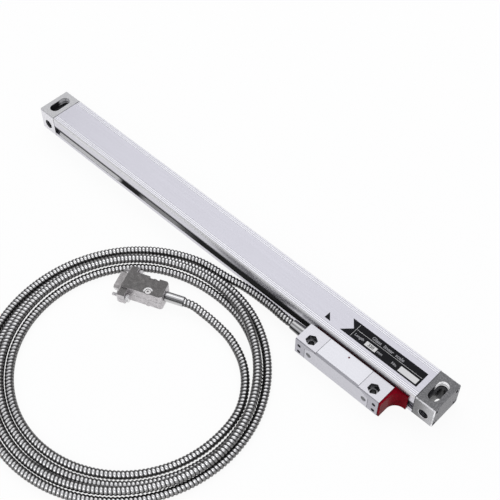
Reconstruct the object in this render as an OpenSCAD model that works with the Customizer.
// Enclosed glass linear scale: sealed aluminium housing, scanning carriage on
// ball rollers, reader head on its blade, armoured cable and nine-way plug.
// Frame: X runs along the scale, Y across it with the reader head on the -Y
// side, Z up. The origin is on the flat back face, at mid length and mid width.

/* [Housing] */
// Length over both end caps
scale_len = 440; // [420:1:640]
// Width from the plain edge to the slotted edge
housing_w = 31; // [30.5:0.5:34]
// Height over the two wide faces
housing_h = 22; // [21.8:0.1:24]
// Wall of the two wide faces and the plain edge
wall_t = 2.2; // [1.8:0.1:2.3]
// Wall of the slotted edge, which holds the seal lips
slot_wall_t = 3; // [2.9:0.1:3.2]
// Opening of the slot between the seal grooves
slot_h = 7.3; // [6.8:0.1:7.6]
// Height of the middle of the slot, where the blade runs
slot_z = 8.05; // [7.9:0.05:8.3]
// Chamfer along the long outer edges
edge_chamfer = 0.8; // [0.3:0.1:1.2]
// Width of each fine groove along the wide faces
rib_groove_w = 0.5; // [0.3:0.1:0.7]
// Depth of each fine groove along the wide faces
rib_groove_d = 0.35; // [0.2:0.05:0.5]

/* [Seal lips] */
// Length of slot left open at each end of the lips
lip_end_gap = 4.5; // [2:0.5:8]
// Depth of the groove that holds the foot of a lip
lip_foot_h = 1.1; // [0.8:0.1:1.2]
// Width of the foot of a lip
lip_foot_w = 1.2; // [1:0.1:1.3]
// Thickness of a lip at its free edge
lip_tip_t = 0.5; // [0.3:0.1:0.8]

/* [End caps] */
// Length of an end cap
cap_len = 17.5; // [16.5:0.5:20]
// Thickness of the gasket between cap and housing
gasket_t = 0.5; // [0.3:0.1:1]
// Width of the mounting slot, for an M5 screw
cap_slot_w = 5.5; // [5.2:0.1:5.8]
// End-to-end length of the mounting slot
cap_slot_len = 16; // [12:0.5:17]
// Width of the recess for the screw head
cap_recess_w = 9; // [8.6:0.1:9.4]
// End-to-end length of the recess
cap_recess_len = 20; // [18:0.5:20.5]
// Depth of the recess for the screw head
cap_recess_d = 7; // [4:0.5:8]
// Core diameter of the tapped side hole, for an M8 screw
side_hole_d = 6.8; // [5:0.1:7]
// Depth of the tapped side hole
side_hole_depth = 5.2; // [4:0.1:5.4]
// Height of the tapped side hole
side_hole_z = 8.6; // [8.5:0.1:9]
// Diameter of the cap screws, M2.5
cap_screw_d = 2.5; // [2:0.1:2.6]
// Length of the cap screws under the head
cap_screw_len = 24; // [20:1:30]

/* [Glass scale] */
// Thickness of the glass
glass_t = 3; // [2.6:0.1:3.2]
// Height of the lower face of the glass
glass_z = 13; // [12.9:0.1:13.2]
// Distance from the end of the housing to the end of the glass
glass_end_gap = 8; // [6:0.5:12]
// Length of the graduation, over the measuring length
track_len = 340; // [300:1:360]
// Width of the graduation track
track_w = 5; // [3:0.5:6]
// Thickness of the bond line round the edge of the glass
bond_t = 0.3; // [0.2:0.05:0.4]

/* [Carriage] */
// Length of the scanning carriage
carriage_len = 64; // [60:1:70]
// Outer diameter of the ball-bearing rollers
roller_d = 6; // [5.6:0.1:6.2]
// Width of the rollers
roller_w = 2.5; // [2:0.1:2.6]
// Diameter of the roller pins
roller_pin_d = 1.2; // [1:0.1:1.5]
// Diameter of the collimating lens
lens_d = 5.8; // [5:0.1:6]

/* [Reader head] */
// Distance from the right end of the scale to the middle of the head
head_end_dist = 74.6; // [70:0.1:120]
// Length of the head
head_len = 80; // [78:1:90]
// Depth of the head, away from the scale
head_w = 18.6; // [18.2:0.1:22]
// Height of the head
head_h = 18; // [17.6:0.1:20]
// Gap between the head and the slotted edge
head_gap = 1.5; // [1.4:0.1:2]
// Distance between the two mounting holes
bolt_spacing = 60; // [59:0.5:61]
// Diameter of the mounting holes, clear for M5
bolt_hole_d = 5.4; // [5.1:0.1:5.5]
// Distance from the back of the head to the mounting holes
bolt_setback = 11.8; // [11.7:0.1:12.2]
// Width across flats of the nut pockets
nut_af = 8.4; // [8.1:0.1:8.6]
// Depth of the nut pockets
nut_depth = 5; // [4:0.1:5.2]
// Length of the cover on top of the head
cover_len = 41; // [36:0.5:44]
// Length of the cover along the foot of the head
cover_foot_len = 61.6; // [58:0.2:62]
// Sheet thickness of the cover
cover_t = 1.5; // [1.2:0.1:1.7]
// Core diameter of the four tapped holes in the front, for M4
front_hole_d = 3.3; // [2.5:0.1:3.4]
// Thickness of the blade that runs through the slot
blade_t = 1; // [0.8:0.1:1.2]
// Length of the blade
blade_len = 60; // [50:1:64]

/* [Alignment bracket] */
// Thickness of the plate against the end of the head
bracket_t = 1.7; // [1.4:0.1:2]
// Reach of the foot beyond the end of the head
bracket_reach = 12.1; // [11:0.1:12.4]
// Radius of the hollow between plate and foot
bracket_r = 9; // [6:0.5:9]
// Height of the bracket
bracket_h = 17.2; // [14:0.1:17.5]

/* [Cable] */
// Outer diameter of the armoured cable
cable_d = 7; // [6:0.5:7]
// Length of the sleeve where the cable leaves the head
sleeve_len = 14; // [10:0.5:14]
// Diameter of that sleeve at the head
sleeve_d = 9.2; // [8.5:0.1:9.6]

/* [Plug] */
// Length of the hood
hood_len = 34; // [32:0.5:36]
// Width of the middle of the hood
hood_w = 16.6; // [16:0.1:17]
// Height of the hood
hood_h = 15.5; // [15:0.1:17]
// Distance between the two jackscrews
jack_spacing = 25; // [24.8:0.1:25.2]
// Diameter of the jackscrew shanks
jack_d = 3.2; // [2.8:0.1:3.4]
// Diameter of the jackscrew knobs
jack_knob_d = 6.4; // [5:0.1:6.8]
// Length of the sleeve where the cable enters the plug
plug_sleeve_len = 16; // [12:0.5:16]

/* [Hidden] */
$fn = 48;
eps = 0.01;

// Housing
housing_len = scale_len - 2 * (cap_len + gasket_t);
front_y = -housing_w / 2;
back_y = housing_w / 2;
cavity_front = front_y + slot_wall_t;
cavity_back = back_y - wall_t;
slot_top = slot_z + slot_h / 2;
slot_bottom = slot_z - slot_h / 2;
channel_setback = 3.5;
channel_y = housing_w / 2 - channel_setback;
channel_low = 3.1;
channel_high = housing_h - channel_low;
channel_r = 2.2;
channel_fit = 0.05;
rib_pitch = 1.5;
rib_count = 3;
rib_margin = 1.7;

// Seal lips
lip_fit = 0.05;
lip_root_setback = 0.25;
lip_foot_setback = 1.2;
lip_heel_setback = 0.4;
blade_gap = 0.3;
lip_tip_y = cavity_front + 0.3;

// End caps
cap_x = scale_len / 2 - cap_len / 2;
cap_chamfer = 0.8;
spigot_len = 4;
spigot_fit = 0.15;
spigot_setback = 6.5;
spigot_w = housing_w - 2 * spigot_setback;
shelf_clear = 2;
glass_clear = 3;
side_sink_depth = 1;
side_sink_d = side_hole_d + 2 * side_sink_depth;
cap_screw_fit = 0.2;
cap_head_rim = 1.05;
cap_head_d = cap_screw_d + 2 * cap_head_rim;
cap_head_h = cap_screw_d;
cap_head_cover = 0.7;
cap_head_sink = cap_head_h + cap_head_cover;
hex_key = 2;

// Glass and what carries it
glass_top = glass_z + glass_t;
glass_front = 0;
glass_back_gap = 0.4;
glass_back = cavity_back - glass_back_gap;
shelf_t = 1.4;
shelf_w = 2.9;
shelf_front = cavity_back - shelf_w;
track_t = 0.1;
track_setback = 6;
track_y = glass_front + track_setback;

// Carriage
running_gap = 0.1;
carriage_front = -9.2;
spine_t = 2.6;
spine_back = carriage_front + spine_t;
arm_gap = 1.2;
arm_back = shelf_front - arm_gap;
lower_arm_gap = 1.5;
lower_arm_top = glass_z - lower_arm_gap;
lower_arm_bottom = 6.2;
upper_arm_gap = 0.8;
upper_arm_bottom = glass_top + track_t + upper_arm_gap;
upper_arm_clear = 1.1;
upper_arm_top = housing_h - wall_t - upper_arm_clear;
pocket_fit = 0.5;
pin_fit = 0.03;
face_roller_z = glass_z - running_gap - roller_d / 2;
edge_roller_y = glass_front - running_gap - roller_d / 2;
edge_roller_z = glass_z + glass_t / 2;
face_roller_x = 24;
edge_roller_x = 14;
outer_roller_setback = 1.8;
middle_roller_setback = 5.4;
outer_roller_y = glass_front + outer_roller_setback;
middle_roller_y = glass_front + middle_roller_setback;
roller_race = 0.6;
roller_rim = 0.7;
roller_shield = 0.2;
roller_chamfer = 0.2;
optics_x = 12;
optics_y = track_y;
lamp_board_t = 1;
lamp_board_len = 18;
lamp_board_front = 3.5;
lamp_board_back = 2.5;
lamp_flange_r = 2;
lamp_flange_t = 0.6;
lamp_r = 1.5;
lamp_body_h = 1.2;
lens_fit = 0.05;
lens_rim = 1;
lens_crown = 0.9;
window_w = 6;
window_len = 11;
reticle_t = 0.9;
reticle_fit = 0.1;
photodiode_len = 7;
photodiode_w = 4;
sensor_board_t = 0.6;
sensor_board_len = 28;
sensor_board_front = 5;
sensor_board_back = 3;
boss_r = 1.2;
boss_gap = 0.3;

// Reader head
head_x = scale_len / 2 - head_end_dist;
head_back = front_y - head_gap;
head_front = head_back - head_w;
head_left = head_x - head_len / 2;
head_right = head_x + head_len / 2;
head_chamfer = 0.6;
bolt_y = head_back - bolt_setback;
cover_fit = 0.1;
cover_bevel = 1.6;
mark_d = 1.2;
mark_depth = 0.4;
mark_setback = 4;
cover_foot_z = 0.4;
cover_corner_drop = 5;
cover_corner_z = head_h - cover_corner_drop;
cover_screw_setback = 4;
cover_screw_x = cover_foot_len / 2 - cover_screw_setback;
cover_screw_z = 8.3;
cover_screw_d = 2.5;
cover_screw_len = 4.2;
cover_screw_fit = 0.1;
cover_sink_h = 1.1;
cover_sink_d = 5;
cover_head_h = 1;
cover_head_d = 4.5;
cover_slot_w = 0.5;
cover_slot_depth = 0.5;
cover_slot_len = 4;
front_hole_setback = 3.8;
front_hole_x = head_len / 2 - front_hole_setback;
front_hole_low = 3.7;
front_hole_high = 11.1;
front_hole_depth = 6;
room_len = 44;
room_floor = 3;
room_wall = 3;
room_roof = 1.5;
cover_seat = 3;
pad_h = 2;
pad_d = 4;
pad_y = 3.2;
board_margin = 1;
board_half_w = 5.8;
board_t = 1.2;
chip_half_len = 6;
chip_half_w = 3;
chip_h = 1.4;
socket_near = 14;
socket_far = 19;
socket_half_w = 4;
socket_h = 3;
blade_root = 3;
blade_root_fit = 0.1;
blade_side_fit = 0.05;
blade_end_gap = 1.2;
blade_end = carriage_front - blade_end_gap;
flange_t = 1;
flange_h = 4;
drive_pin_d = 2;
drive_pin_fit = 0.02;
spring_pocket = 2;
spring_fit = 0.2;
spring_x = 20;
spring_d = 3;
spring_wire = 0.4;
spring_turns = 4;
spring_steps = 12;
wire_sides = 8;

// Cable exit
cable_setback = 6.3;
cable_y = head_back - cable_setback;
cable_z = 9;
sleeve_tip_d = 8.2;
sleeve_spigot_d = 7;
sleeve_spigot_len = 5;
core_hole_d = 4.4;
sleeve_fit = 0.05;
sleeve_chamfer = 0.4;
sleeve_base = 3;

// Alignment bracket
bracket_lap = 0.1;
bracket_gap = 0.4;
bracket_foot_z = 0.3;
bracket_setback = 0.5;
sheet_setback = 5;
sheet_gap = 0.3;
sheet_lift = 1.5;

// Cable route, points chosen by hand
lead_in_points = [
  [91.4, -23.3, 9], [82, -23, 8.5], [70, -21.4, 6.8], [58, -20.5, 5.2],
  [46, -20.3, 4.1], [36, -20.9, 3.6], [26.5, -22.7, 3.5]
];
lead_out_points = [
  [16.6, -66, 7.75], [24, -63.3, 7.2], [32, -62.3, 5.8], [41, -61.6, 4.5],
  [51, -61.8, 3.7], [61.5, -62.9, 3.5], [72.7, -66.2, 3.5], [84.6, -71.6, 3.5],
  [94.8, -78.9, 3.5], [104.2, -89.1, 3.5], [111.5, -101, 3.5]
];
tube_sides = 12;
coil_centre = [26.5, -133.5];
coil_inner_r = 89.4;
coil_outer_r = 114.5;
coil_h = 13.2;

// Plug
plug_x = 1.9;
plug_y = -72.2;
plug_angle = 23;
hood_mid = hood_h / 2;
hood_wall = 2;
ear_len = 5.5;
ear_half_w = 15;
ear_h = 12.5;
shell_flange_t = 1;
shell_flange_h = 12.5;
shell_flange_chamfer = 2;
shell_corner = 1.6;
shell_len = 5.8;
shell_w = 16.9;
shell_h = 8.4;
shell_wall = 0.5;
jack_fit = 0.05;
jack_knob_len = 3.2;
jack_knob_gap = 0.3;
jack_tip_d = 2.8;
jack_tip_len = 5;
plug_sleeve_d = 8.2;
plug_spigot_d = 6.8;
plug_collar_d = 9;
hood_screw_x = -12;
hood_screw_setback = 2.5;
hood_screw_y = hood_w / 2 - hood_screw_setback;
hood_screw_fit = 0.1;
hood_screw_sink = 2;
hood_screw_room = 3;
hood_sink_d = 5;
hood_head_d = 4.6;
hood_head_h = 1.6;
hood_chamfer = 1.5;
hood_end_wall = 4.5;
notch_len = 8.2;
notch_w = 3;
notch_depth = 2.4;
hood_boss_r = 3.1;
nose_w = 16.3;
nose_h = 8.7;
nose_len = 4.5;
hood_screw_d = 2.5;
pin_pitch = 2.77;
pin_row_gap = 2.84;
contact_d = 1;
contact_tail = 5;
contact_setback = 0.8;
insulator_len = 4;
insulator_fit = 0.05;
plug_bore_r = 2;
plug_collar_far = 6.5;
plug_collar_near = 5;
plug_step = 0.1;
small_chamfer = 0.4;
jack_chamfer = 0.5;

// ---------------------------------------------------------------- helpers

// Carries a section, drawn as (y, z), along X from x0
module along_x(len, x0) {
  translate([x0, 0, 0]) rotate([90, 0, 90]) linear_extrude(len) children();
}

// Turns a shape drawn along +Z so that it points along +X
module point_x() {
  rotate([0, 90, 0]) children();
}

// Turns a shape drawn along +Z so that it points along -Y
module point_front() {
  rotate([90, 0, 0]) children();
}

// Rectangle between two corners with the same chamfer on all four
module chamfered(lo, hi, c) {
  polygon([
    [lo.x + c, lo.y], [hi.x - c, lo.y], [hi.x, lo.y + c], [hi.x, hi.y - c],
    [hi.x - c, hi.y], [lo.x + c, hi.y], [lo.x, hi.y - c], [lo.x, lo.y + c]
  ]);
}

// Rectangle between two corners
module span(lo, hi) {
  translate(lo) square(hi - lo);
}

// Box between two corners
module block(lo, hi) {
  translate(lo) cube(hi - lo);
}

// Slot outline of a given end-to-end length along Y
module slot_outline(len, w) {
  for (s = [-1, 1]) translate([0, s * (len - w) / 2]) circle(d = w);
  square([w, len - w], center = true);
}

// Socket-head screw along +Z: the underside of the head is at z = 0
module socket_screw(d, len, head_d, head_h, key) {
  translate([0, 0, -len]) cylinder(d = d, h = len);
  difference() {
    cylinder(d = head_d, h = head_h);
    translate([0, 0, head_h / 2]) cylinder(d = key / cos(30), h = head_h, $fn = 6);
  }
}

function unit(v) = v / norm(v);
function tangent(p, i) = unit(p[min(i + 1, len(p) - 1)] - p[max(i - 1, 0)]);
function ring(p, i, r, n) =
  let (t = tangent(p, i), u = unit(cross([0, 0, 1], t)), v = cross(t, u))
  [for (k = [0 : n - 1]) let (a = 360 * k / n) p[i] + r * (cos(a) * u + sin(a) * v)];

// Round tube of n sides along a list of points, closed at both ends
module tube(p, d, n) {
  last = len(p) - 1;
  points = [for (i = [0 : last]) each ring(p, i, d / 2, n)];
  sides = [for (i = [0 : last - 1]) for (k = [0 : n - 1])
    let (a = i * n + k, b = i * n + (k + 1) % n) each [[a, a + n, b], [b, a + n, b + n]]];
  ends = [[for (k = [0 : n - 1]) k], [for (k = [n - 1 : -1 : 0]) last * n + k]];
  polyhedron(points, concat(sides, ends));
}

// ---------------------------------------------------------------- housing

channel_points = [
  for (y = [-channel_y, channel_y]) for (z = [channel_low, channel_high]) [y, z]
];

module outer_section() {
  chamfered([front_y, 0], [back_y, housing_h], edge_chamfer);
}

// Fine grooves near both long edges of one wide face at height z
module rib_grooves(z) {
  for (i = [0 : rib_count - 1]) {
    for (s = [-1, 1]) {
      y = s * (housing_w / 2 - rib_margin - i * rib_pitch);
      translate([y, z]) square([rib_groove_w, 2 * rib_groove_d], center = true);
    }
  }
}

// Groove for the foot of a lip, at the edge z of the slot, going up or down
module lip_groove(z, up) {
  y0 = cavity_front - lip_foot_setback - lip_foot_w;
  span([y0, up > 0 ? z - eps : z - lip_foot_h], [y0 + lip_foot_w, up > 0 ? z + lip_foot_h : z + eps]);
}

module housing_section() {
  difference() {
    union() {
      difference() {
        outer_section();
        span([cavity_front, wall_t], [cavity_back, housing_h - wall_t]);
      }
      intersection() {
        outer_section();
        for (p = channel_points) translate(p) circle(r = channel_r);
      }
      span([shelf_front, glass_z - bond_t - shelf_t], [back_y - eps, glass_z - bond_t]);
      span([shelf_front, glass_top + bond_t], [back_y - eps, glass_top + bond_t + shelf_t]);
    }
    span([front_y - 1, slot_bottom], [cavity_front, slot_top]);
    lip_groove(slot_top, 1);
    lip_groove(slot_bottom, -1);
    for (p = channel_points) translate(p) circle(d = cap_screw_d + 2 * channel_fit);
    rib_grooves(0);
    rib_grooves(housing_h);
  }
}

module scale_housing() {
  color([0.83, 0.83, 0.86])
    along_x(housing_len, -housing_len / 2) housing_section();
}

// Upper lip: a foot in its groove and a wedge that leans in to the blade
module lip_section() {
  foot_back = cavity_front - lip_foot_setback - lip_fit;
  foot_front = foot_back - lip_foot_w + 2 * lip_fit;
  foot_top = slot_top + lip_foot_h - lip_fit;
  root = slot_top - lip_fit;
  tip = slot_z + blade_t / 2 + blade_gap;
  polygon([
    [front_y + lip_root_setback, root], [foot_front, root], [foot_front, foot_top],
    [foot_back, foot_top], [foot_back, root], [cavity_front - lip_heel_setback, root],
    [lip_tip_y, tip + lip_tip_t], [lip_tip_y - lip_tip_t, tip]
  ]);
}

module seal_lip() {
  len = housing_len - 2 * lip_end_gap;
  color([0.05, 0.05, 0.06]) along_x(len, -len / 2) children();
}

module upper_seal_lip() {
  seal_lip() lip_section();
}

module lower_seal_lip() {
  seal_lip() translate([0, 2 * slot_z]) mirror([0, 1]) lip_section();
}

// --------------------------------------------------------------- end caps

module spigot_section(grow) {
  span(
    [-spigot_w / 2 - grow, wall_t + spigot_fit - grow],
    [spigot_w / 2 + grow, housing_h - wall_t - spigot_fit + grow]
  );
}

// Right-hand cap, drawn in its final place; the left one is its mirror image
module end_cap() {
  x0 = scale_len / 2 - cap_len;
  x1 = scale_len / 2;
  color([0.72, 0.72, 0.74]) difference() {
    union() {
      intersection() {
        along_x(cap_len, x0) chamfered([front_y, 0], [back_y, housing_h], cap_chamfer);
        linear_extrude(housing_h)
          chamfered([x0 - cap_chamfer, front_y], [x1, back_y], cap_chamfer);
      }
      along_x(spigot_len + gasket_t, x0 - spigot_len - gasket_t) difference() {
        spigot_section(0);
        for (p = channel_points) translate(p) circle(r = channel_r + spigot_fit);
        span([shelf_front - shelf_clear, glass_z - glass_clear], [back_y, glass_top + glass_clear]);
      }
    }
    translate([cap_x, 0, -eps]) linear_extrude(housing_h + 2 * eps)
      slot_outline(cap_slot_len, cap_slot_w);
    translate([cap_x, 0, housing_h - cap_recess_d]) linear_extrude(cap_recess_d + eps)
      slot_outline(cap_recess_len, cap_recess_w);
    translate([cap_x, front_y + side_hole_depth, side_hole_z]) point_front() {
      cylinder(d = side_hole_d, h = side_hole_depth + eps);
      translate([0, 0, side_hole_depth - side_sink_depth])
        cylinder(d1 = side_hole_d, d2 = side_sink_d, h = side_sink_depth + eps);
    }
    for (p = channel_points) translate([x1, p.x, p.y]) {
      translate([-cap_len - eps, 0, 0]) point_x()
        cylinder(d = cap_screw_d + 2 * cap_screw_fit, h = cap_len + 2 * eps);
      translate([-cap_head_sink, 0, 0]) point_x()
        cylinder(d = cap_head_d + 2 * cap_screw_fit, h = cap_head_sink + eps);
    }
  }
}

module end_gasket() {
  color([0.1, 0.1, 0.1]) along_x(gasket_t, housing_len / 2) difference() {
    outer_section();
    spigot_section(spigot_fit);
    for (p = channel_points) translate(p) circle(d = cap_screw_d + 2 * cap_screw_fit);
  }
}

module end_screws() {
  color([0.6, 0.6, 0.62]) for (p = channel_points)
    translate([scale_len / 2 - cap_head_sink, p.x, p.y]) point_x()
      socket_screw(cap_screw_d, cap_screw_len, cap_head_d, cap_head_h, hex_key);
}

module on_left() {
  mirror([1, 0, 0]) children();
}

module left_end_cap() {
  on_left() end_cap();
}

module right_end_cap() {
  end_cap();
}

module left_end_gasket() {
  on_left() end_gasket();
}

module right_end_gasket() {
  end_gasket();
}

module left_end_screws() {
  on_left() end_screws();
}

module right_end_screws() {
  end_screws();
}

// ------------------------------------------------------------ glass scale

glass_len = housing_len - 2 * glass_end_gap;

module glass_scale() {
  color([0.75, 0.85, 0.8, 0.5])
    along_x(glass_len, -glass_len / 2) span([glass_front, glass_z], [glass_back, glass_top]);
}

module graduation_track() {
  color([0.3, 0.3, 0.34]) along_x(track_len, -track_len / 2)
    span([track_y - track_w / 2, glass_top], [track_y + track_w / 2, glass_top + track_t]);
}

module glass_bond() {
  color([0.85, 0.85, 0.8]) along_x(glass_len, -glass_len / 2) difference() {
    span([shelf_front, glass_z - bond_t], [cavity_back, glass_top + bond_t]);
    span([shelf_front - 1, glass_z], [glass_back, glass_top]);
  }
}

// --------------------------------------------------------------- carriage

// Places for the five rollers: x, y, z, and true where the pin stands along Z
outer_places = [for (s = [-1, 1]) [head_x + s * face_roller_x, outer_roller_y, face_roller_z]];
middle_place = [head_x, middle_roller_y, face_roller_z];
edge_places = [for (s = [-1, 1]) [head_x + s * edge_roller_x, edge_roller_y, edge_roller_z]];

// A shielded ball bearing, seen as one turning ring, with its axis along Z
module roller() {
  r = roller_d / 2;
  bore = roller_pin_d / 2 + pin_fit;
  h = roller_w / 2;
  low = -h + roller_shield;
  high = h - roller_shield;
  c = roller_chamfer;
  race = bore + roller_race;
  rim = r - roller_rim;
  color([0.78, 0.79, 0.8]) rotate_extrude() polygon([
    [bore, -h], [race, -h], [race, low], [rim, low], [rim, -h], [r - c, -h], [r, -h + c],
    [r, h - c], [r - c, h], [rim, h], [rim, high], [race, high], [race, h], [bore, h]
  ]);
}

module face_roller_left() {
  translate(outer_places[0]) point_front() roller();
}

module face_roller_middle() {
  translate(middle_place) point_front() roller();
}

module face_roller_right() {
  translate(outer_places[1]) point_front() roller();
}

module edge_roller_left() {
  translate(edge_places[0]) roller();
}

module edge_roller_right() {
  translate(edge_places[1]) roller();
}

pin_overlap = 1.2;
face_pin_len = roller_w + 2 * (pocket_fit + pin_overlap);
edge_pin_low = lower_arm_top - 2;
edge_pin_high = upper_arm_bottom + 1.2;

// All five pins, grown by a radial amount
module pin_shapes(grow) {
  for (p = concat(outer_places, [middle_place]))
    translate(p) point_front()
      cylinder(d = roller_pin_d + 2 * grow, h = face_pin_len, center = true);
  for (p = edge_places)
    translate([p.x, p.y, edge_pin_low])
      cylinder(d = roller_pin_d + 2 * grow, h = edge_pin_high - edge_pin_low);
}

module roller_pins() {
  color([0.5, 0.5, 0.52]) pin_shapes(0);
}

module carriage_section() {
  span([carriage_front, lower_arm_bottom], [spine_back, upper_arm_top]);
  span([spine_back - eps, lower_arm_bottom], [arm_back, lower_arm_top]);
  span([spine_back - eps, upper_arm_bottom], [arm_back, upper_arm_top]);
}

// Collars on the two arms that keep an edge roller at its height
module roller_bosses() {
  low = edge_roller_z - roller_w / 2 - boss_gap;
  high = edge_roller_z + roller_w / 2 + boss_gap;
  translate([0, 0, lower_arm_top - eps]) cylinder(r = boss_r, h = low - lower_arm_top + eps);
  translate([0, 0, high]) cylinder(r = boss_r, h = upper_arm_bottom - high + eps);
}

module scanning_carriage() {
  px = roller_d / 2 + pocket_fit;
  py = roller_w / 2 + pocket_fit;
  window = [head_x + optics_x, optics_y];
  color([0.35, 0.36, 0.38]) difference() {
    union() {
      along_x(carriage_len, head_x - carriage_len / 2) carriage_section();
      for (p = edge_places) translate([p.x, p.y, 0]) roller_bosses();
    }
    for (p = concat(outer_places, [middle_place]))
      block([p.x - px, p.y - py, lower_arm_bottom - 1], [p.x + px, p.y + py, lower_arm_top + 1]);
    pin_shapes(0.01);
    translate([window.x, window.y, lower_arm_bottom - 1])
      cylinder(d = lens_d + 2 * lens_fit, h = lower_arm_top - lower_arm_bottom + 2);
    block(
      [window.x - window_len / 2, window.y - window_w / 2, upper_arm_bottom - 1],
      [window.x + window_len / 2, window.y + window_w / 2, upper_arm_top + 1]
    );
    translate([head_x, carriage_front - 1, slot_z + blade_t / 2 + flange_h / 2])
      mirror([0, 1, 0]) point_front() cylinder(d = drive_pin_d + 2 * pin_fit, h = spine_t + 2);
    for (s = [-1, 1])
      translate([head_x + s * spring_x, carriage_front - 1, slot_z + blade_t / 2 + flange_h / 2])
        mirror([0, 1, 0]) point_front() cylinder(d = spring_d + 2 * spring_fit, h = spring_pocket + 1);
  }
}

module lamp_board() {
  c = [head_x + optics_x, optics_y];
  color([0.1, 0.35, 0.2]) block(
    [c.x - lamp_board_len / 2, c.y - lamp_board_front, lower_arm_bottom - lamp_board_t],
    [c.x + lamp_board_len / 2, c.y + lamp_board_back, lower_arm_bottom]
  );
}

module lamp() {
  color([0.8, 0.75, 0.85]) translate([head_x + optics_x, optics_y, lower_arm_bottom])
    rotate_extrude() polygon(concat(
      [[0, 0], [lamp_flange_r, 0], [lamp_flange_r, lamp_flange_t], [lamp_r, lamp_flange_t]],
      [for (a = [0 : 15 : 75]) [lamp_r * cos(a), lamp_body_h + lamp_r * sin(a)]],
      [[0, lamp_body_h + lamp_r]]
    ));
}

// Plano-convex lens, flat side down, seated in the lower arm
module collimating_lens() {
  r = lens_d / 2;
  crown = lens_crown;
  sphere_r = (r * r + crown * crown) / (2 * crown);
  color([0.8, 0.9, 0.95, 0.5])
    translate([head_x + optics_x, optics_y, lower_arm_top - crown - lens_rim])
      rotate_extrude() polygon(concat(
        [[0, 0], [r, 0], [r, lens_rim]],
        [for (i = [1 : 6]) let (x = r * (1 - i / 7))
          [x, lens_rim + crown - sphere_r + sqrt(sphere_r * sphere_r - x * x)]],
        [[0, lens_rim + crown]]
      ));
}

module reticle_plate() {
  c = [head_x + optics_x, optics_y];
  color([0.6, 0.65, 0.7, 0.6]) block(
    [c.x - window_len / 2 + reticle_fit, c.y - window_w / 2 + reticle_fit, upper_arm_bottom],
    [c.x + window_len / 2 - reticle_fit, c.y + window_w / 2 - reticle_fit, upper_arm_bottom + reticle_t]
  );
}

module photodiode_array() {
  c = [head_x + optics_x, optics_y];
  color([0.15, 0.15, 0.18]) block(
    [c.x - photodiode_len / 2, c.y - photodiode_w / 2, upper_arm_bottom + reticle_t],
    [c.x + photodiode_len / 2, c.y + photodiode_w / 2, upper_arm_top]
  );
}

module sensor_board() {
  c = [head_x + optics_x, optics_y];
  color([0.1, 0.35, 0.2]) block(
    [c.x - sensor_board_len / 2, c.y - sensor_board_front, upper_arm_top],
    [c.x + sensor_board_len / 2, c.y + sensor_board_back, upper_arm_top + sensor_board_t]
  );
}

// ------------------------------------------------------------ reader head

module head_section() {
  chamfered([head_front, 0], [head_back, head_h], head_chamfer);
}

// Outline of the front of the cover, drawn as (x, z) from the head's middle
module cover_outline(grow) {
  f = cover_foot_len / 2 + grow;
  t = cover_len / 2 + grow;
  low = cover_foot_z - grow;
  polygon([
    [-f, low], [f, low], [f, cover_corner_z], [t, head_h],
    [t, head_h + 1], [-t, head_h + 1], [-t, head_h], [-f, cover_corner_z]
  ]);
}

// L-shaped cover: a top sheet and a front sheet, grown by a clearance
module cover_shape(grow) {
  translate([head_x, head_front + cover_t + grow, 0]) point_front()
    linear_extrude(cover_t + grow + 1) cover_outline(grow);
  block(
    [head_x - cover_len / 2 - grow, head_front - 1, head_h - cover_t - grow],
    [head_x + cover_len / 2 + grow, head_back + 1, head_h + 1]
  );
}

cover_screw_places = [for (s = [-1, 1]) [head_x + s * cover_screw_x, head_front, cover_screw_z]];

module head_cover() {
  color([0.88, 0.88, 0.9]) difference() {
    intersection() {
      along_x(head_len, head_left) head_section();
      cover_shape(0);
    }
    translate([head_x, head_front, head_h]) rotate([45, 0, 0])
      cube([cover_len + 2, cover_bevel * sqrt(2), cover_bevel * sqrt(2)], center = true);
    translate([head_x, head_back - mark_setback, head_h - mark_depth])
      cylinder(d = mark_d, h = mark_depth + 1, $fn = 24);
    for (p = cover_screw_places) translate([p.x, p.y + cover_t + 1, p.z]) point_front() {
      cylinder(d = cover_screw_d + 2 * cover_screw_fit, h = cover_t + 2);
      translate([0, 0, 1 + cover_t - cover_sink_h])
        cylinder(d1 = cover_screw_d + 2 * cover_screw_fit, d2 = cover_sink_d, h = cover_sink_h + eps);
    }
  }
}

module cover_screws() {
  color([0.6, 0.6, 0.62]) for (p = cover_screw_places)
    translate([p.x, p.y + cover_screw_len, p.z]) point_front() difference() {
      union() {
        cylinder(d = cover_screw_d, h = cover_screw_len - cover_head_h);
        translate([0, 0, cover_screw_len - cover_sink_h])
          cylinder(d1 = cover_screw_d, d2 = cover_head_d, h = cover_head_h);
      }
      translate([-cover_slot_len / 2, -cover_slot_w / 2, cover_screw_len - cover_sink_h + cover_slot_depth])
        cube([cover_slot_len, cover_slot_w, 2]);
    }
}

pad_places = [
  for (sx = [-1, 1]) for (sy = [-1, 1])
    [head_x + sx * (room_len / 2 - pad_d), (head_front + head_back) / 2 + sy * pad_y]
];

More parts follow.
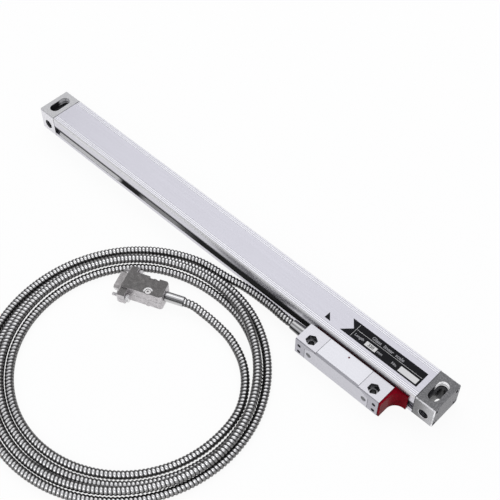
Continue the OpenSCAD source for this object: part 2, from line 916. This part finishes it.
module head_body() {
  room_lo = [head_x - room_len / 2, head_front + room_wall, room_floor];
  room_hi = [head_x + room_len / 2, head_back - room_wall, head_h - cover_t - room_roof];
  color([0.85, 0.85, 0.88]) difference() {
    along_x(head_len, head_left) head_section();
    cover_shape(cover_fit);
    difference() {
      block(room_lo, room_hi);
      for (p = pad_places) translate([p.x, p.y, 0]) cylinder(d = pad_d, h = room_floor + pad_h);
    }
    block(
      [head_x - cover_len / 2 + cover_seat, head_front + room_wall, room_hi.z - 1],
      [head_x + cover_len / 2 - cover_seat, head_back - room_wall, head_h]
    );
    for (s = [-1, 1]) translate([head_x + s * bolt_spacing / 2, bolt_y, 0]) {
      translate([0, 0, -1]) cylinder(d = bolt_hole_d, h = head_h + 2);
      translate([0, 0, head_h - nut_depth])
        rotate([0, 0, 30]) cylinder(d = nut_af / cos(30), h = nut_depth + 1, $fn = 6);
    }
    for (s = [-1, 1]) for (z = [front_hole_low, front_hole_high])
      translate([head_x + s * front_hole_x, head_front + front_hole_depth, z])
        point_front() cylinder(d = front_hole_d, h = front_hole_depth + 1);
    for (p = cover_screw_places)
      translate([p.x, p.y + cover_screw_len + 0.5, p.z]) point_front()
        cylinder(d = cover_screw_d + 2 * channel_fit, h = cover_screw_len + 1);
    translate([head_left - 1, cable_y, cable_z]) point_x() {
      cylinder(d = sleeve_spigot_d + 2 * sleeve_fit, h = sleeve_spigot_len + 1.1);
      cylinder(d = core_hole_d, h = (head_len - room_len) / 2 + 2);
    }
    block(
      [head_x - blade_len / 2 - blade_root_fit, head_back - blade_root, slot_z - blade_t / 2 - blade_side_fit],
      [head_x + blade_len / 2 + blade_root_fit, head_back + 1, slot_z + blade_t / 2 + blade_side_fit]
    );
  }
}

module signal_board() {
  z = room_floor + pad_h;
  top = z + board_t;
  mid = (head_front + head_back) / 2;
  color([0.1, 0.35, 0.2]) {
    block(
      [head_x - room_len / 2 + board_margin, mid - board_half_w, z],
      [head_x + room_len / 2 - board_margin, mid + board_half_w, top]
    );
    block(
      [head_x - chip_half_len, mid - chip_half_w, top],
      [head_x + chip_half_len, mid + chip_half_w, top + chip_h]
    );
    block(
      [head_x - socket_far, mid - socket_half_w, top],
      [head_x - socket_near, mid + socket_half_w, top + socket_h]
    );
  }
}

// Steel blade: flat through the slot, turned up behind the lips
module reader_blade() {
  z = slot_z - blade_t / 2;
  color([0.6, 0.61, 0.63]) difference() {
    union() {
      block([head_x - blade_len / 2, head_back - blade_root + blade_root_fit, z],
        [head_x + blade_len / 2, blade_end, z + blade_t]);
      block([head_x - blade_len / 2, blade_end - flange_t, z],
        [head_x + blade_len / 2, blade_end, z + blade_t + flange_h]);
    }
    translate([head_x, blade_end + 1, z + blade_t + flange_h / 2]) point_front()
      cylinder(d = drive_pin_d + 2 * drive_pin_fit, h = flange_t + 2);
  }
}

module drive_pin() {
  color([0.7, 0.7, 0.72])
    translate([head_x, spine_back, slot_z + blade_t / 2 + flange_h / 2]) point_front()
      cylinder(d = drive_pin_d, h = spine_back - blade_end + flange_t);
}

// Helical spring along +Z with its ends on z = 0 and z = len
module spring(d, wire, len, turns) {
  last = turns * spring_steps;
  r = (d - wire) / 2;
  tube([for (i = [0 : last]) let (a = 360 * i / spring_steps)
    [r * cos(a), r * sin(a), wire / 2 + (len - wire) * i / last]], wire, wire_sides);
}

module coupling_springs() {
  len = carriage_front + spring_pocket - blade_end;
  color([0.75, 0.75, 0.78]) for (s = [-1, 1])
    translate([head_x + s * spring_x, carriage_front + spring_pocket, slot_z + blade_t / 2 + flange_h / 2])
      point_front() spring(spring_d, spring_wire, len, spring_turns);
}

// --------------------------------------------------------- bracket, cable

// Plan: a plate on the end of the head, a foot along the scale and a hollow
module alignment_bracket() {
  x0 = head_right;
  x1 = x0 + bracket_t;
  foot_front = head_back - bracket_lap;
  foot_back = front_y - bracket_gap;
  hollow = [x1 + bracket_r, foot_front - bracket_r];
  color([0.65, 0.02, 0.06]) {
    translate([0, 0, bracket_foot_z]) linear_extrude(bracket_h - bracket_foot_z) polygon(concat(
      [[x0, foot_back], [x0, head_front + bracket_setback], [x1, head_front + bracket_setback]],
      [for (a = [180 : -7.5 : 90]) hollow + bracket_r * [cos(a), sin(a)]],
      [[x0 + bracket_reach, foot_front], [x0 + bracket_reach, foot_back]]
    ));
    block(
      [head_left + sheet_setback, head_back + sheet_gap, slot_z + blade_t / 2 + sheet_lift],
      [x0 + eps, foot_back, bracket_h]
    );
  }
}

module cable_sleeve() {
  r = sleeve_d / 2;
  t = sleeve_tip_d / 2;
  s = sleeve_spigot_d / 2;
  color([0.8, 0.8, 0.82]) translate([head_left, cable_y, cable_z]) point_x()
    rotate_extrude() polygon([
      [core_hole_d / 2, -sleeve_len], [t - sleeve_chamfer, -sleeve_len], [t, -sleeve_len + sleeve_chamfer],
      [r, -sleeve_base], [r, 0], [s, 0], [s, sleeve_spigot_len], [core_hole_d / 2, sleeve_spigot_len]
    ]);
}

module cable_lead_in() {
  color([0.6, 0.6, 0.6]) tube(lead_in_points, cable_d, tube_sides);
}

module cable_lead_out() {
  color([0.6, 0.6, 0.6]) tube(lead_out_points, cable_d, tube_sides);
}

// Outer shape of the coil: two layers of turns, the upper one narrower
module cable_coil() {
  color([0.6, 0.6, 0.6]) translate([coil_centre.x, coil_centre.y, 0])
    rotate_extrude($fn = 96) polygon([
      [coil_inner_r, 0], [coil_outer_r, 0], [coil_outer_r, cable_d],
      [coil_outer_r - cable_d, coil_h], [coil_inner_r + cable_d / 2, coil_h],
      [coil_inner_r, cable_d]
    ]);
}

// ------------------------------------------------------------------- plug

// The plug's own frame: cable end at the origin, mating face towards -X
module at_plug() {
  translate([plug_x, plug_y, 0]) rotate([0, 0, plug_angle]) children();
}

module hood_blank() {
  c = hood_chamfer;
  linear_extrude(hood_h) polygon([
    [-hood_len, -hood_w / 2], [-c, -hood_w / 2], [0, -hood_w / 2 + c],
    [0, hood_w / 2 - c], [-c, hood_w / 2], [-hood_len, hood_w / 2]
  ]);
  along_x(ear_len, -hood_len)
    chamfered([-ear_half_w, hood_mid - ear_h / 2], [ear_half_w, hood_mid + ear_h / 2], hood_chamfer);
  screw_bosses();
}

// Round bosses for the two hood screws; they bulge a little through the sides
module screw_bosses() {
  for (s = [-1, 1]) translate([hood_screw_x, s * hood_screw_y, 0]) cylinder(r = hood_boss_r, h = hood_h);
}

// One half of the hood, between two heights
module hood_half(z0, z1) {
  difference() {
    intersection() {
      hood_blank();
      block([-hood_len, -ear_half_w, z0], [0, ear_half_w, z1]);
    }
    difference() {
      block([-hood_len - 1, -hood_w / 2 + hood_wall, hood_wall],
        [-hood_end_wall, hood_w / 2 - hood_wall, hood_h - hood_wall]);
      screw_bosses();
    }
    block([-hood_len - 1, -nose_w / 2, hood_mid - nose_h / 2],
      [-hood_len + nose_len, nose_w / 2, hood_mid + nose_h / 2]);
    translate([-hood_end_wall - 0.5, 0, hood_mid]) point_x()
      cylinder(d = plug_spigot_d + 2 * sleeve_fit, h = hood_end_wall + 1);
    for (s = [-1, 1]) {
      translate([-hood_len - 1, s * jack_spacing / 2, hood_mid]) point_x()
        cylinder(d = jack_d + 2 * jack_fit, h = ear_len + 2);
      translate([hood_screw_x, s * hood_screw_y, -1])
        cylinder(d = hood_screw_d + 2 * hood_screw_fit, h = hood_h + 2);
    }
    translate([hood_screw_x, -hood_screw_y, hood_h - hood_screw_sink])
      cylinder(d = hood_sink_d, h = hood_screw_room);
    translate([hood_screw_x, hood_screw_y, hood_screw_sink]) mirror([0, 0, 1])
      cylinder(d = hood_sink_d, h = hood_screw_room);
    block(
      [hood_screw_x - notch_len / 2, hood_w / 2 - notch_w, hood_h - notch_depth],
      [hood_screw_x + notch_len / 2, hood_w, hood_h + 1]
    );
  }
}

module plug_hood_lower() {
  color([0.36, 0.36, 0.37]) at_plug() hood_half(0, hood_mid);
}

module plug_hood_upper() {
  color([0.36, 0.36, 0.37]) at_plug() hood_half(hood_mid, hood_h);
}

// D outline of the shell, drawn as (y, z): wide side up, corners cut
module d_outline(w, h) {
  c = shell_corner;
  lean = h * tan(10);
  polygon([
    [-w / 2 + c, h / 2], [w / 2 - c, h / 2], [w / 2, h / 2 - c], [w / 2 - lean, -h / 2 + c],
    [w / 2 - lean - c, -h / 2], [-w / 2 + lean + c, -h / 2], [-w / 2 + lean, -h / 2 + c],
    [-w / 2, h / 2 - c]
  ]);
}

module plug_shell() {
  color([0.75, 0.75, 0.76]) at_plug() difference() {
    union() {
      along_x(shell_flange_t, -hood_len - shell_flange_t) chamfered(
        [-ear_half_w, hood_mid - shell_flange_h / 2], [ear_half_w, hood_mid + shell_flange_h / 2],
        shell_flange_chamfer
      );
      along_x(shell_len, -hood_len - shell_flange_t - shell_len)
        translate([0, hood_mid]) d_outline(shell_w, shell_h);
    }
    along_x(shell_len + shell_flange_t + 2, -hood_len - shell_flange_t - shell_len - 1)
      translate([0, hood_mid]) d_outline(shell_w - 2 * shell_wall, shell_h - 2 * shell_wall);
    for (s = [-1, 1]) translate([-hood_len - shell_flange_t - 1, s * jack_spacing / 2, hood_mid]) point_x()
      cylinder(d = jack_d + 2 * jack_fit, h = shell_flange_t + 2);
  }
}

contact_places = concat(
  [for (i = [-2 : 2]) [i * pin_pitch, pin_row_gap / 2]],
  [for (i = [-1.5 : 1.5]) [i * pin_pitch, -pin_row_gap / 2]]
);

module plug_insulator() {
  color([0.08, 0.08, 0.08]) at_plug() along_x(insulator_len, -hood_len - shell_flange_t) difference() {
    translate([0, hood_mid])
      d_outline(shell_w - 2 * (shell_wall + insulator_fit), shell_h - 2 * (shell_wall + insulator_fit));
    for (p = contact_places) translate([p.x, hood_mid + p.y]) circle(d = contact_d, $fn = 16);
  }
}

module plug_pins() {
  color([0.8, 0.65, 0.3]) at_plug() for (p = contact_places)
    translate([-hood_len - shell_flange_t - shell_len + contact_setback, p.x, hood_mid + p.y]) point_x()
      cylinder(d = contact_d, h = shell_len + contact_tail, $fn = 16);
}

module hood_screws() {
  color([0.65, 0.65, 0.66]) at_plug() {
    len = hood_h - hood_screw_sink - hood_screw_room;
    translate([hood_screw_x, -hood_screw_y, hood_h - hood_screw_sink])
      socket_screw(hood_screw_d, len, hood_head_d, hood_head_h, hex_key);
    translate([hood_screw_x, hood_screw_y, hood_screw_sink]) mirror([0, 0, 1])
      socket_screw(hood_screw_d, len, hood_head_d, hood_head_h, hex_key);
  }
}

module plug_sleeve() {
  r = plug_sleeve_d / 2;
  s = plug_spigot_d / 2;
  c = plug_collar_d / 2;
  color([0.8, 0.8, 0.82]) at_plug() translate([0, 0, hood_mid]) point_x() rotate_extrude() polygon([
    [plug_bore_r, -plug_collar_far], [c, -plug_collar_far], [c, -plug_collar_near], [s, -plug_collar_near],
    [s, plug_step], [r - small_chamfer, plug_step], [r, plug_step + small_chamfer],
    [r, plug_sleeve_len - small_chamfer], [r - small_chamfer, plug_sleeve_len], [plug_bore_r, plug_sleeve_len]
  ]);
}

// Thumb screw along +X: threaded tip at -X, knob behind the ear
module jackscrew() {
  shank = ear_len + shell_flange_t + jack_knob_gap;
  knob = jack_knob_d / 2;
  color([0.7, 0.7, 0.72]) translate([-hood_len + ear_len + jack_knob_gap, 0, hood_mid]) point_x()
    rotate_extrude() polygon([
      [0, -shank - jack_tip_len], [jack_tip_d / 2 - jack_chamfer, -shank - jack_tip_len],
      [jack_tip_d / 2, -shank - jack_tip_len + jack_chamfer], [jack_tip_d / 2, -shank],
      [jack_d / 2, -shank], [jack_d / 2, 0], [knob - small_chamfer, 0], [knob, small_chamfer],
      [knob, jack_knob_len - small_chamfer], [knob - small_chamfer, jack_knob_len], [0, jack_knob_len]
    ]);
}

module jackscrew_near() {
  at_plug() translate([0, -jack_spacing / 2, 0]) jackscrew();
}

module jackscrew_far() {
  at_plug() translate([0, jack_spacing / 2, 0]) jackscrew();
}

scale_housing();
glass_scale();
graduation_track();
glass_bond();
upper_seal_lip();
lower_seal_lip();
left_end_cap();
right_end_cap();
left_end_gasket();
right_end_gasket();
left_end_screws();
right_end_screws();
head_body();
head_cover();
cover_screws();
signal_board();
reader_blade();
drive_pin();
coupling_springs();
scanning_carriage();
roller_pins();
face_roller_left();
face_roller_middle();
face_roller_right();
edge_roller_left();
edge_roller_right();
lamp_board();
lamp();
collimating_lens();
reticle_plate();
photodiode_array();
sensor_board();
alignment_bracket();
cable_sleeve();
cable_lead_in();
cable_coil();
cable_lead_out();
plug_sleeve();
plug_hood_lower();
plug_hood_upper();
plug_shell();
plug_insulator();
plug_pins();
hood_screws();
jackscrew_near();
jackscrew_far();
